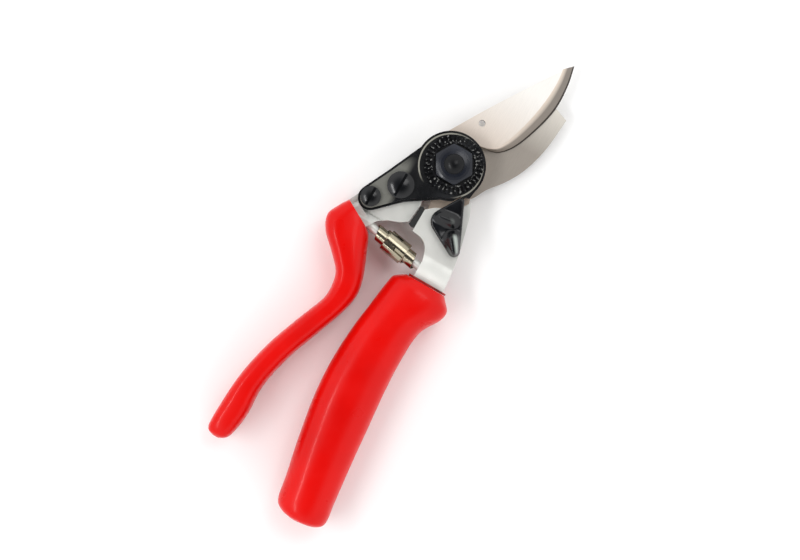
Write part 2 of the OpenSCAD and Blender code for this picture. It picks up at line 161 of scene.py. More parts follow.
def edge_sharpness(obj, angle):
    """Marks edges sharper than the angle, so that smooth shading stops there."""
    made = bmesh.new()
    made.from_mesh(obj.data)
    limit = math.radians(angle)
    for edge in made.edges:
        edge.smooth = len(edge.link_faces) == 2 and edge.calc_face_angle(0) < limit
    made.to_mesh(obj.data)
    made.free()


# ---------------------------------------------------------------- materials

class Look:
    """A Principled material under construction, with short calls for the nodes that it needs."""

    def __init__(self, name, color, metallic=0.0, roughness=0.5):
        self.material = bpy.data.materials.new(name)
        self.material.use_nodes = True
        self.nodes = self.material.node_tree.nodes
        self.links = self.material.node_tree.links
        self.shader = self.nodes["Principled BSDF"]
        self.place = self.nodes.new("ShaderNodeTexCoord").outputs["Object"]
        self.set("Base Color", (*color, 1))
        self.set("Metallic", metallic)
        self.set("Roughness", roughness)

    def set(self, socket, value):
        self.shader.inputs[socket].default_value = value

    def join(self, output, socket):
        self.links.new(output, self.shader.inputs[socket])

    def mapped(self, scale=(1, 1, 1), turn=0.0):
        """Object coordinates, turned about Z by degrees and then scaled."""
        node = self.nodes.new("ShaderNodeMapping")
        node.inputs["Scale"].default_value = scale
        node.inputs["Rotation"].default_value = (0, 0, math.radians(turn))
        self.links.new(self.place, node.inputs["Vector"])
        return node.outputs["Vector"]

    def noise(self, scale, detail=4, vector=None, roughness=0.5):
        node = self.nodes.new("ShaderNodeTexNoise")
        node.inputs["Scale"].default_value = scale
        node.inputs["Detail"].default_value = detail
        node.inputs["Roughness"].default_value = roughness
        self.links.new(vector or self.place, node.inputs["Vector"])
        return node.outputs["Fac"]

    def spread(self, value, low, high, start=0.3, end=0.7):
        """value from start to end becomes low to high."""
        node = self.nodes.new("ShaderNodeMapRange")
        node.inputs["From Min"].default_value = start
        node.inputs["From Max"].default_value = end
        node.inputs["To Min"].default_value = low
        node.inputs["To Max"].default_value = high
        self.links.new(value, node.inputs["Value"])
        return node.outputs["Result"]

    def mix(self, factor, low, high):
        """Two colours mixed by a factor; each is a colour or another node's output."""
        node = self.nodes.new("ShaderNodeMix")
        node.data_type = "RGBA"
        self.links.new(factor, node.inputs["Factor"])
        for name, value in (("A", low), ("B", high)):
            socket = [s for s in node.inputs if s.name == name and s.type == "RGBA"][0]
            if isinstance(value, tuple):
                socket.default_value = (*value, 1)
            else:
                self.links.new(value, socket)
        return [s for s in node.outputs if s.type == "RGBA"][0]

    def bump(self, height, strength, distance, under=None):
        node = self.nodes.new("ShaderNodeBump")
        node.inputs["Strength"].default_value = strength
        node.inputs["Distance"].default_value = distance * MM
        self.links.new(height, node.inputs["Height"])
        if under:
            self.links.new(under, node.inputs["Normal"])
        return node.outputs["Normal"]

    def along(self, axis, turn=0.0):
        """One object coordinate, in metres, after a turn about Z by degrees."""
        node = self.nodes.new("ShaderNodeSeparateXYZ")
        self.links.new(self.mapped(turn=turn), node.inputs["Vector"])
        return node.outputs[axis]

    def ramp(self, axis, start, end, low=0, high=1):
        """low to high as one object coordinate goes from start to end, in millimetres."""
        return self.spread(self.along(axis), low, high, start * MM, end * MM)

    def distance(self, point):
        """Distance in metres from a point given in millimetres."""
        node = self.nodes.new("ShaderNodeVectorMath")
        node.operation = "DISTANCE"
        node.inputs[1].default_value = tuple(c * MM for c in point)
        self.links.new(self.place, node.inputs[0])
        return node.outputs["Value"]

    def times(self, first, second):
        node = self.nodes.new("ShaderNodeMath")
        node.operation = "MULTIPLY"
        self.links.new(first, node.inputs[0])
        self.links.new(second, node.inputs[1])
        return node.outputs["Value"]

    def between(self, value, low, high, soft=0.04):
        """1 where a coordinate is from low to high, in millimetres, falling to 0 just outside."""
        rise = self.spread(value, 0, 1, (low - soft) * MM, low * MM)
        fall = self.spread(value, 1, 0, high * MM, (high + soft) * MM)
        return self.times(rise, fall)


def srgb(r, g, b):
    """A display colour, 0 to 255, as the linear colour that shaders use."""
    def linear(c):
        c /= 255
        return c / 12.92 if c <= 0.04045 else ((c + 0.055) / 1.055) ** 2.4
    return tuple(linear(c) for c in (r, g, b))


def dipped_vinyl():
    """Thick glossy red dip: even colour, a faint orange peel and dull handled patches."""
    look = Look("red_vinyl", srgb(222, 10, 6), roughness=0.3)
    tone = look.noise(38, 3)
    look.join(look.mix(look.spread(tone, 0, 1), srgb(206, 6, 3), srgb(222, 11, 6)), "Base Color")
    look.join(look.spread(look.noise(90, 5), 0.26, 0.4), "Roughness")
    peel = look.bump(look.noise(900, 2), 0.05, 0.05)
    look.join(look.bump(look.noise(120, 2), 0.12, 0.2, under=peel), "Normal")
    look.set("Specular IOR Level", 0.14)
    look.set("Coat Weight", 0.1)
    look.set("Coat Roughness", 0.12)
    return look.material


def ground_steel(
    name, near, far, metallic=0.6, turn=0, roughness=0.4, groove=0.12, reach=(5, 40), painted_shading_fade=None
):
    """Steel ground along one direction: streaks in tone, gloss and height, and a base tone going from near
    to far along X (mm), a painted light gradient standing for reflection and shade.

    The last argument is (a height in mm, the depth below it, a colour): painted shading, the surface painted
    that lighter colour at the height and fading to its own tone down the depth.
    """
    look = Look(name, near, metallic=metallic, roughness=roughness)
    streaks = look.noise(60, 6, look.mapped((3, 110, 20), turn), roughness=0.65)
    fine = look.noise(220, 3, look.mapped((2, 60, 12), turn))
    # painted light: the base tone shifts from near to far along X, standing for reflection and shade rather
    # than a change in the steel
    painted_light_ramp = look.ramp("X", *reach)
    tone = look.mix(painted_light_ramp, near, far)
    darker = look.mix(painted_light_ramp, tuple(c * 0.84 for c in near), tuple(c * 0.88 for c in far))
    surface = look.mix(look.spread(streaks, 0, 1), darker, tone)
    # painted shading: the surface is painted lighter at the given height, fading to its own tone below it
    if painted_shading_fade:
        top, depth, color = painted_shading_fade
        surface = look.mix(look.ramp("Z", top - depth, top), surface, color)
    look.join(surface, "Base Color")
    look.join(look.spread(streaks, roughness - 0.06, roughness + 0.1), "Roughness")
    look.join(look.bump(fine, groove, 0.04, under=look.bump(streaks, groove, 0.06)), "Normal")
    return look.material


def black_finish(name, roughness, deep=(8, 9, 12), pale=(26, 28, 32), edges=None, gloss=0.35):
    """Blue-black oxide under thin lacquer and a little cast texture, with a painted highlight on edges
    between two heights.

    It returns the look and not its material, so that painted highlights can be laid over it.
    """
    look = Look(name, srgb(*deep), roughness=roughness)
    patches = look.spread(look.noise(70, 6, roughness=0.6), 0, 1, 0.45, 0.75)
    tone = look.mix(patches, srgb(*deep), srgb(*pale))
    if edges:
        # painted highlight: a pale grey band on the rounded edges between the two heights
        tone = look.mix(look.between(look.along("Z"), *edges), tone, srgb(128, 128, 124))
    look.join(tone, "Base Color")
    look.join(look.spread(look.noise(160, 4), roughness - 0.06, roughness + 0.1), "Roughness")
    look.join(look.bump(look.noise(700, 4), 0.2, 0.05), "Normal")
    look.set("Specular IOR Level", gloss)
    look.set("Coat Weight", gloss / 3)
    look.set("Coat Roughness", 0.15)
    return look


def paint_highlight(look, mask, color):
    """Lays a paler tone, a painted highlight, over a finished look where the mask is 1."""
    tone = look.shader.inputs["Base Color"].links[0].from_socket
    look.join(look.mix(mask, tone, srgb(*color)), "Base Color")
    return look


HEAD_AT = (-1, 0.8)
HEAD_R = 13.8
PLATE_TOP = 15.5
PLATE_EDGE_HIGHLIGHT = (15.02, 15.46)
PLATE_FACE = (15.4, 15.48)
RIM_HIGHLIGHT_BAND = (HEAD_R - 1.45, HEAD_R - 1)
TOOTH_GLINT_BAND = (16.9, 16.98)
PAPER = (0.96, 0.98)
RIDGE_TURN = 51.7
RIDGE_HIGHLIGHT_SLOPE = (-4.0, -3.2)
RIDGE_HIGHLIGHT_TOPS = (18.6, 20)


def plate_finish():
    """The pivot plate: black, with painted highlights along its rounded edge and in a line round its raised
    face, and a painted grey sheen on its tail.
    """
    look = black_finish("plate_black", 0.26, edges=PLATE_EDGE_HIGHLIGHT)
    # painted sheen: a paler grey across the tail's flat top face, fading out towards the head
    tail_sheen = look.times(look.ramp("Y", 13, 15.4), look.ramp("X", -5, -11))
    face = look.ramp("Z", *PLATE_FACE)
    paint_highlight(look, look.times(tail_sheen, face), (112, 112, 106))
    # painted highlight: a pale line just inside the head's outline on its top face, fading out towards the
    # tail
    rim = look.between(look.distance((*HEAD_AT, PLATE_TOP)), *RIM_HIGHLIGHT_BAND, soft=0.12)
    head = look.ramp("X", -12, -9)
    return paint_highlight(look, look.times(look.times(rim, head), face), (150, 148, 138))


def ring_finish():
    """Black oxide, with painted glints on the tops of a few teeth."""
    look = black_finish("ring_black", 0.22)
    # painted glints: noise picks the teeth whose tops are painted pale
    glinting = look.spread(look.noise(1100, 1), 0, 1, 0.56, 0.66)
    return paint_highlight(look, look.times(look.ramp("Z", *TOOTH_GLINT_BAND), glinting), (112, 112, 110))


def catch_finish():
    """The thumb catch: black, with painted highlights on the slopes of its two ridges, mostly on the pad."""
    look = black_finish("catch_black", 0.2)
    # painted highlight: a pale tone on one side slope of each ridge, high up, strongest on the pad
    lit_slope = look.between(look.along("X", turn=RIDGE_TURN), *RIDGE_HIGHLIGHT_SLOPE, soft=0.9)
    high = look.ramp("Z", *RIDGE_HIGHLIGHT_TOPS)
    mostly_pad = look.ramp("X", -24, -22, 1, 0.3)
    return paint_highlight(look, look.times(look.times(lit_slope, high), mostly_pad), (168, 176, 170))


def pale_alloy():
    """Forged alloy, tumbled and clear coated: silver-white with a fine sandy grain."""
    look = Look("pale_alloy", srgb(226, 226, 222), metallic=0.25, roughness=0.36)
    clouds = look.spread(look.noise(55, 4), 0, 1)
    look.join(look.mix(clouds, srgb(204, 205, 200), srgb(218, 218, 213)), "Base Color")
    look.join(look.spread(look.noise(260, 4), 0.3, 0.46), "Roughness")
    look.join(look.bump(look.noise(1100, 3), 0.22, 0.05), "Normal")
    look.set("Coat Weight", 0.1)
    look.set("Coat Roughness", 0.3)
    return look.material


def turned_steel(name, color, roughness):
    """Machined or plated steel with light tool marks."""
    look = Look(name, color, metallic=1.0, roughness=roughness)
    marks = look.noise(500, 4)
    clouds = look.spread(look.noise(80, 4), 0, 1)
    look.join(look.mix(clouds, tuple(c * 0.82 for c in color), color), "Base Color")
    look.join(look.spread(marks, roughness * 0.75, roughness * 1.4), "Roughness")
    look.join(look.bump(marks, 0.1, 0.03), "Normal")
    return look.material


def moulded(name, color, roughness):
    """Moulded rubber or plastic with a fine even grain."""
    look = Look(name, color, roughness=roughness)
    clouds = look.spread(look.noise(60, 4), 0, 1)
    look.join(look.mix(clouds, tuple(c * 0.8 for c in color), color), "Base Color")
    look.join(look.spread(look.noise(200, 3), roughness - 0.06, min(roughness + 0.1, 1)), "Roughness")
    look.join(look.bump(look.noise(600, 3), 0.3, 0.06), "Normal")
    return look.material


def floor_paper():
    """Smooth white studio paper."""
    dull, bright = ((tone, tone, tone) for tone in PAPER)
    look = Look("floor_paper", bright, roughness=0.85)
    look.join(look.mix(look.spread(look.noise(6, 3), 0, 1), dull, bright), "Base Color")
    look.join(look.bump(look.noise(800, 2), 0.05, 0.05), "Normal")
    return look.material


RED = dipped_vinyl()
# blade face: painted reflection, the tone brightening from near the pivot towards the tip
FACE_STEEL = ground_steel(
    "blade_face", srgb(216, 197, 180), srgb(248, 245, 240), metallic=0.3, turn=32
)
# bevel: a darker tone, partly its coarser grind and partly painted shade on the sloping bevel; its top is
# painted lighter and fades down into it, as painted shading
BEVEL_STEEL = ground_steel(
    "blade_bevel", srgb(150, 140, 130), srgb(138, 130, 122), metallic=0.6, turn=100, groove=0.3,
    painted_shading_fade=(9.15, 0.75, srgb(228, 214, 200)),
)
# painted shade: near-black steel for the bevel's last band at the edge, the edge's thin wall and the small
# hole's wall
PAINTED_SHADE_STEEL = ground_steel("blade_edge_painted_shade", srgb(64, 58, 52), srgb(58, 52, 48), turn=100)
# counter-blade: painted shade, the tone darker near the pivot and brightening towards the hook's end
HOOK_STEEL = ground_steel(
    "hook_face", srgb(160, 152, 143), srgb(232, 227, 217), metallic=0.4, turn=32, roughness=0.42,
    reach=(20, 44),
)
PLATE_BLACK = plate_finish().material
RING_BLACK = ring_finish().material
BLACK_GLOSS = black_finish("black_gloss", 0.16).material
BOLT_BLACK = black_finish("bolt_black", 0.3, gloss=0.2).material
BLUED = black_finish("blued", 0.24, deep=(16, 20, 30), pale=(30, 36, 50)).material
CATCH_BLACK = catch_finish().material
ALLOY = pale_alloy()
CHROME = turned_steel("spring_plating", srgb(168, 160, 140), 0.18)
STEEL = turned_steel("turned_steel", srgb(170, 170, 168), 0.3)
BRONZE = turned_steel("bush_bronze", srgb(190, 150, 90), 0.35)
RUBBER = moulded("bumper_rubber", srgb(20, 22, 21), 0.6)
NYLON = moulded("bush_nylon", srgb(228, 224, 208), 0.5)
DARK_RED = moulded("collar_red", srgb(168, 18, 12), 0.4)

# The finish of each CAD node that is kept, and how wide its edges are rounded, in millimetres.
NODE_LOOKS = {
    "left_handle": (ALLOY, 0.5), "right_arm": (ALLOY, 0.6), "counter_blade": (HOOK_STEEL, 0.15),
    "pivot_plate": (PLATE_BLACK, 0.6), "plate_screw_large": (BLACK_GLOSS, 0.3),
    "plate_screw_small": (BLACK_GLOSS, 0.25), "plate_nuts": (STEEL, 0.2),
    "pivot_bolt": (BOLT_BLACK, 0.3), "pivot_nut": (BLUED, 0.5),
    "lock_ring": (RING_BLACK, 0.2), "pivot_bush": (BRONZE, 0.1), "blade_screws": (STEEL, 0.2),
    "bumper": (RUBBER, 0.3), "spindle": (STEEL, 0.2), "stop_collar": (DARK_RED, 0.3),
    "thrust_washer": (STEEL, 0.1), "spindle_nut": (STEEL, 0.2), "catch_pin": (STEEL, 0.2),
    "catch_washer": (STEEL, 0.05), "roller_core": (ALLOY, 0.1),
    "front_bush": (NYLON, 0.15), "rear_bush": (NYLON, 0.15),
}
ROUND_SEGMENTS = 3
ROUND_ANGLE = 28


def dress_cad_nodes():
    """The CAD pieces whose shape is right keep it, with rounded edges and a real finish."""
    for name, (material, width) in NODE_LOOKS.items():
        node = frame["nodes"][name]
        node.data.materials.clear()
        node.data.materials.append(material)
        shade(node, width)


def shade(node, width):
    """Rounded edges on a CAD node, whose own vertices stay where they are."""
    node.data.polygons.foreach_set("use_smooth", [True] * len(node.data.polygons))
    bevel = node.modifiers.new("edge_round", "BEVEL")
    bevel.width = width * MM
    bevel.segments = ROUND_SEGMENTS
    bevel.limit_method = "ANGLE"
    bevel.angle_limit = math.radians(ROUND_ANGLE)
    bevel.harden_normals = True


# ---------------------------------------------------------------- grips

LEFT_OUTER = [
    (-139, 29.6, 3.6), (-136.6, 32.4, 7.2), (-126, 32.5, 8.7), (-112, 31.4, 9.4), (-97, 28, 9.8),
    (-82, 22.6, 9.9), (-71, 18.3, 9.9), (-64.5, 18, 9.9), (-59, 19.6, 9.9), (-53.5, 24.6, 9.9),
    (-47.5, 30.8, 9.7), (-41.5, 33.4, 9.3), (-36.5, 31.5, 8.9), (-32.2, 28.8, 8.5),
]
LEFT_INNER = [
    (-139, 26.2), (-136, 23), (-126, 21.3), (-113, 21.6), (-98, 18.4), (-84, 13.3), (-72, 9),
    (-64, 7.4), (-57.5, 8.3), (-51.5, 10.5), (-46, 12.8), (-42.2, 14.4), (-39.8, 15.9), (-38.3, 17.7),
]
LEFT_Z = 10
LEFT_POWER = 3.2
LIP_STEPS = (0.35, 0.75, 1.1)
CORE_Z = 9.5
CORE_HALF = 4.8
GRIP_WALL = 1.9
CORE_STATIONS = 48
CORE_END = 2.2

ROLL_OUTER = [
    (-151.8, -12.6, 5.5), (-150.6, -8.3, 8.6), (-147.5, -5.5, 10.2), (-138, -3.7, 10.9),
    (-122, -0.4, 11.3), (-105, 2.4, 11.45), (-90, 3.3, 11.45), (-75, 2.6, 11.45), (-64, 1.2, 11.4),
    (-56, 0.2, 11.2), (-51.4, -0.5, 10.9), (-49.4, -1.2, 10.5), (-47.8, -3.1, 9.7), (-46.5, -5.1, 8.9),
]
ROLL_INNER = [
    (-151.3, -20.2), (-150.2, -24.3), (-147, -26.8), (-138, -25.8), (-122, -24), (-105, -22.4),
    (-90, -21), (-75, -20.45), (-64, -21.4), (-56, -25.8), (-52.4, -26.7), (-50.4, -26), (-48.3, -24.1),
    (-46.5, -22.5),
]
ROLL_AXIS = JOINTS["handle_roll"]["pos_m"]
ROLL_POWER = 2.3
CAVITY_R = 6.26
CAVITY_REAR = -134.5
DOME_STEPS = 6


def skin_rings(outer, inner, z, power, stations, sides):
    """Outer rings from the closed end to the mouth, the closed end drawn in to a dome."""
    rings = []
    high = curve(outer, stations)
    low = curve(inner, stations)
    for h, l in zip(high, low):
        rings.append(ring(Vector((h.x, h.y)), Vector((l.x, l.y)), z, h.z, power, sides))
    first = rings[0]
    center = [sum(p[k] for p in first) / sides for k in range(3)]
    dome = []
    for i in range(DOME_STEPS):
        s = math.sin(math.pi / 2 * (i + 0.25) / DOME_STEPS)
        dome.append([tuple(center[k] + (p[k] - center[k]) * s for k in range(3)) for p in first])
    return dome + rings


def left_grip():
    """The fixed handle's dipped grip, a shell round the alloy core with a rolled lip at its mouth."""
    sides = 64
    stations = 160
    skin = skin_rings(LEFT_OUTER, LEFT_INNER, LEFT_Z, LEFT_POWER, stations, sides)
    a, b = (Vector((p[0], p[1])) for p in (LEFT_OUTER[-1], LEFT_INNER[-1]))
    inward = (a - b).normalized()
    lip = []
    for step in LIP_STEPS:
        half = LEFT_OUTER[-1][2] - step
        lip.append(ring(a - inward * step, b + inward * step, LEFT_Z, half, LEFT_POWER, sides))
    core = []
    last = len(LEFT_OUTER) - 1
    for i in range(CORE_STATIONS + 1):
        t = last + (CORE_END - last) * i / CORE_STATIONS
        h, l = curve_at(LEFT_OUTER, t), curve_at(LEFT_INNER, t)
        p, q = Vector((h.x, h.y)), Vector((l.x, l.y))
        pull = (p - q).normalized() * GRIP_WALL
        core.append(ring(p - pull, q + pull, CORE_Z, CORE_HALF, LEFT_POWER, sides))
    return loft("left_grip_dip", skin + lip + core)


def roller_grip():
    """The rolling grip: a fat closed sleeve with a finger flange at its mouth."""
    sides = 72
    stations = 180
    axis_y, axis_z = ROLL_AXIS[1] / MM, ROLL_AXIS[2] / MM
    skin = skin_rings(ROLL_OUTER, ROLL_INNER, axis_z, ROLL_POWER, stations, sides)
    bore = []
    for x in (ROLL_OUTER[-1][0], CAVITY_REAR):
        p = Vector((x, axis_y + CAVITY_R))
        q = Vector((x, axis_y - CAVITY_R))
        bore.append(ring(p, q, axis_z, CAVITY_R, 2, sides))
    return loft("roller_grip_dip", skin + bore)


# ---------------------------------------------------------------- blade

ROOT_R = 12.4
PIVOT_R = 5.52
HOLE_AT = (20.1, -1.4)
HOLE_R = 1.3
EDGE_T = 0.3
BEVEL_ROLL = 1.6
RIM_STEPS = (30, 24)
EDGE_STEPS = 120
BACK_STEPS = 24
HOLE_SIDES = 48
PIVOT_SIDES = 60
FACE, BEVEL, PAINTED_SHADE_SLOT = 0, 1, 2
BEVEL_STEPS = [-0.08, 0, 0.1, 0.2, 0.32, 0.44, 0.56, 0.7, 0.86, 1]
EDGE_LINE = [
    (12.1, -8.8), (13.7, -13.2), (19.4, -17.8), (30, -21.8), (40, -23.9), (50, -23.5), (58.2, -21.8),
]
BEVEL_LINE = [
    (12.4, -7.7), (15.4, -11.8), (21.6, -14.6), (31, -17.2), (40, -18.7), (48.5, -19.1), (54.6, -18.5),
]
BACK_LINE = [(53.5, -18.3), (40, -9.3), (25, 0.2), (10, 9.1)]
TANG = [
    (-19.5, 0.3), (-30, -1.6), (-33.5, -6.8), (-35, -12), (-34, -19),
    (-20, -16.2), (-12.6, -13.6), (-8.6, -12.4),
]
ABOVE_TANG = (64, 174)
BELOW_TANG = (245, 340)


def flat_region(outline, holes):
    """Triangles that fill an outline, less its holes: (points, triangles)."""
    points = [Vector(p) for p in outline]
    edges = [(i, (i + 1) % len(points)) for i in range(len(points))]
    for hole in holes:
        first = len(points)
        points += [Vector(p) for p in hole]
        edges += [(first + i, first + (i + 1) % len(hole)) for i in range(len(hole))]
    verts, _, faces, _, _, _ = delaunay_2d_cdt(points, edges, [], 0, 1e-5)
    kept = [f for f in faces if inside(center_of(verts, f), outline)
            and not any(inside(center_of(verts, f), h) for h in holes)]
    return verts, kept


def center_of(verts, face):
    return sum((verts[i] for i in face), Vector((0, 0))) / len(face)


def inside(point, outline):
    """True if the point is within the closed outline."""
    found = False
    for i in range(len(outline)):
        a, b = outline[i - 1], outline[i]
        if (a[1] > point[1]) != (b[1] > point[1]):
            if point[0] < (b[0] - a[0]) * (point[1] - a[1]) / (b[1] - a[1]) + a[0]:
                found = not found
    return found


def blade():
    """The cutting blade: flat face, a ground bevel that rolls off to a fine edge, and two round holes."""
    low, high = (corner.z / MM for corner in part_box("blade"))
    above = arc((0, 0), ROOT_R, *ABOVE_TANG, RIM_STEPS[0])
    below = arc((0, 0), ROOT_R, *BELOW_TANG, RIM_STEPS[1])
    rim = above + [Vector(p) for p in TANG] + below
    edge = curve(EDGE_LINE, EDGE_STEPS)
    bevel = curve(BEVEL_LINE, EDGE_STEPS)
    back = curve(BACK_LINE, BACK_STEPS)
    hole = circle(HOLE_AT, HOLE_R, HOLE_SIDES)
    pivot = circle((0, 0), PIVOT_R, PIVOT_SIDES)
    lines = [[b.lerp(e, s) for b, e in zip(bevel, edge)] for s in BEVEL_STEPS]
    heights = [high - (high - low - EDGE_T) * max(s, 0) ** BEVEL_ROLL for s in BEVEL_STEPS]
    heel = [line[0] for line in lines]
    tip = [line[-1] for line in reversed(lines)]
    verts, faces, slots = [], [], []

    def raised(points, z):
        return [(p.x, p.y, z) for p in points]

    def flat(outline, z):
        first = len(verts)
        points, triangles = flat_region(outline, [hole, pivot])
        verts.extend(raised(points, z))
        faces.extend(tuple(first + i for i in t) for t in triangles)
        slots.extend([FACE] * len(triangles))

    def wall(upper, lower, slot):
        first = len(verts)
        count = len(upper)
        verts.extend(upper)
        verts.extend(lower)
        for i in range(first, first + count - 1):
            faces.append((i, i + 1, i + count + 1, i + count))
            slots.append(slot)

    def side(points, slot=FACE):
        wall(raised(points, high), raised(points, low), slot)

    flat(rim + lines[0] + back, high)
    flat(rim + heel[:-1] + edge + tip[1:] + back, low)
    for i in range(len(lines) - 1):
        # the bevel's last band, at the edge, is painted dark as painted shade
        slot = FACE if i == 0 else PAINTED_SHADE_SLOT if i == len(lines) - 2 else BEVEL
        wall(raised(lines[i], heights[i]), raised(lines[i + 1], heights[i + 1]), slot)
    wall([(p.x, p.y, z) for p, z in zip(heel, heights)], raised(heel, low), BEVEL)
    wall([(p.x, p.y, z) for p, z in zip(tip, reversed(heights))], raised(tip, low), BEVEL)
    # the edge's thin wall takes the painted shade
    wall(raised(edge, low + EDGE_T), raised(edge, low), PAINTED_SHADE_SLOT)
    side(rim + heel[:1])
    side(tip[-1:] + back + rim[:1])
    # the small hole's wall takes the painted shade, for the shade inside the hole
    side(hole + hole[:1], PAINTED_SHADE_SLOT)
    side(pivot + pivot[:1])
    obj = add_mesh("blade_ground", verts, faces, face_slots=slots)
    edge_sharpness(obj, angle=25)
    return obj


# ---------------------------------------------------------------- spring

SPRING_TOP = Vector((-37.3, 14.9, 11.5))
SPRING_FOOT = Vector((-41.2, -7.6, 11.5))
SPRING_R = 4.5
SPRING_END_R = 2.7
STRIP_T = 0.5
SLEEVE_HALF = 4.7
SLEEVE_TURNS = 0.47
DIVE_TURNS = 0.53
END_TURNS = 2
SLIT_ANGLE = -75
SLEEVE_STEPS = 26
COIL_STEPS = 84
SIDE_STEP = 0.002
STRIP_GAP = 0.15
COIL_GAP = 0.1
END_GAP = 0.3
NIP = 0.12


def strip_radius(u):
    """Inner radius of the spring's strip at u turns from its middle."""
    outer = SPRING_R - STRIP_T
    under = outer - STRIP_T - STRIP_GAP
    if abs(u) < SLEEVE_TURNS:
        return outer
    if abs(u) < DIVE_TURNS:
        return outer + (under - outer) * (abs(u) - SLEEVE_TURNS) / (DIVE_TURNS - SLEEVE_TURNS)
    return under + (SPRING_END_R - STRIP_T - under) * (abs(u) - DIVE_TURNS) / (END_TURNS - DIVE_TURNS)


def strip_span(u, length):
    """The two edges of the strip at u turns from its middle, along the spring's axis."""
    past = max(abs(u) - SLEEVE_TURNS, 0) / (END_TURNS - SLEEVE_TURNS)
    slide = (length / 2 - SLEEVE_HALF) * past
    near = -SLEEVE_HALF if past == 0 else COIL_GAP + slide
    far = SLEEVE_HALF + slide
    return (near, far) if u >= 0 else (-far, -near)


def spring():
    """A volute: a slit sleeve in the middle, whose strip winds on inwards to both ends."""
    axis = SPRING_FOOT - SPRING_TOP
    length = axis.length - END_GAP
    axis.normalize()
    across = Vector((0, 0, 1))
    side = across.cross(axis)
    middle = (SPRING_FOOT + SPRING_TOP) / 2
    sleeve = [SLEEVE_TURNS * i / SLEEVE_STEPS for i in range(1, SLEEVE_STEPS + 1)]
    coils = [DIVE_TURNS + (END_TURNS - DIVE_TURNS) * i / COIL_STEPS for i in range(COIL_STEPS + 1)]
    half = sleeve + [SLEEVE_TURNS + SIDE_STEP] + coils
    rings = []
    for u in [-u for u in reversed(half)] + [0] + half:
        r = strip_radius(u)
        low, high = strip_span(u, length)
        angle = math.radians(360 * u + SLIT_ANGLE)
        out = side * math.cos(angle) + across * math.sin(angle)
        section = [
            (r, low + NIP), (r + NIP, low), (r + STRIP_T - NIP, low), (r + STRIP_T, low + NIP),
            (r + STRIP_T, high - NIP), (r + STRIP_T - NIP, high), (r + NIP, high), (r, high - NIP),
        ]
        rings.append([tuple(middle + out * reach + axis * z) for reach, z in section])
    obj = loft("volute_strip", rings)
    edge_sharpness(obj, angle=40)
    return obj


# ---------------------------------------------------------------- thumb catch

CATCH_AT = Vector((-21.5, -7.6))
CATCH_CIRCLES = [(CATCH_AT, 5), (Vector((-29.4, -16.9)), 2.4), (Vector((-11.1, -9.6)), 1.3)]
CATCH_BORE_R = 2.25
CATCH_T = 3.2
HUMP_LINE = (Vector((-20.4, -5.6)), Vector((-19.7, -10.6)))
HUMP_T = 1.9
HUMP_W = 3.1
HUMP_CREST = 0.5
PAD_LINE = (Vector((-25.7, -14.2)), Vector((-30, -17.6)))
PAD_T = 2.9
PAD_W = 3.9
PAD_CREST = 0.6
PAD_FLAT = 1.15
DIP_AT = Vector((-23.8, -11))
DIP_T = 0.5
DIP_W = 3
DIP_CREST = 1
RIM_FADE = 1.6
RIM_R = 0.9
RIM_OFFSETS = (0, 0.06, 0.16, 0.3, 0.48, 0.7, 0.95, 1.3)
PLAN_SIDES = 150
CLOUD_SIDES = 72
TOP_STEPS = 22
BORE_CEILING = 0.7


def to_segment(p, a, b):
    """Distance from a point to a straight run."""
    run = b - a
    t = min(max((p - a).dot(run) / run.length_squared, 0), 1)
    return (p - a - run * t).length


def catch_outline(count):
    """The lever's plan, evenly spaced: the tight outline round its three circles."""
    cloud = [p for c, r in CATCH_CIRCLES for p in circle(c, r, CLOUD_SIDES)]
    hull = [cloud[i] for i in convex_hull_2d(cloud)]
    lengths = [(hull[i] - hull[i - 1]).length for i in range(len(hull))]
    total = sum(lengths)
    points = []
    i, passed = 0, 0.0
    for k in range(count):
        goal = total * k / count
        while passed + lengths[i] < goal:
            passed += lengths[i]
            i += 1
        points.append(hull[i - 1].lerp(hull[i], (goal - passed) / lengths[i]))
    return points


def ridge(distance, width, crest):
    """1 on a ridge's line, sloping to 0 at the width with a soft foot; crest rounds its top."""
    soft = math.sqrt(distance ** 2 + crest ** 2) - crest
    height = max(1 - soft / width, 0)
    return height * height * (2 - height)


def catch_top(p, rim):
    """Height of the catch above its underside, where rim is the distance to the outline."""
    hump = HUMP_T * ridge(to_segment(p, *HUMP_LINE), HUMP_W, HUMP_CREST)
    pad = PAD_T * min(PAD_FLAT * ridge(to_segment(p, *PAD_LINE), PAD_W, PAD_CREST), 1)
    dip = DIP_T * ridge((p - DIP_AT).length, DIP_W, DIP_CREST)
    fade = min(rim / RIM_FADE, 1)
    fade = fade * fade * (3 - 2 * fade)
    drop = RIM_R - math.sqrt(RIM_R ** 2 - max(RIM_R - rim, 0) ** 2)
    return CATCH_T - drop + fade * (max(hump, pad) - dip)


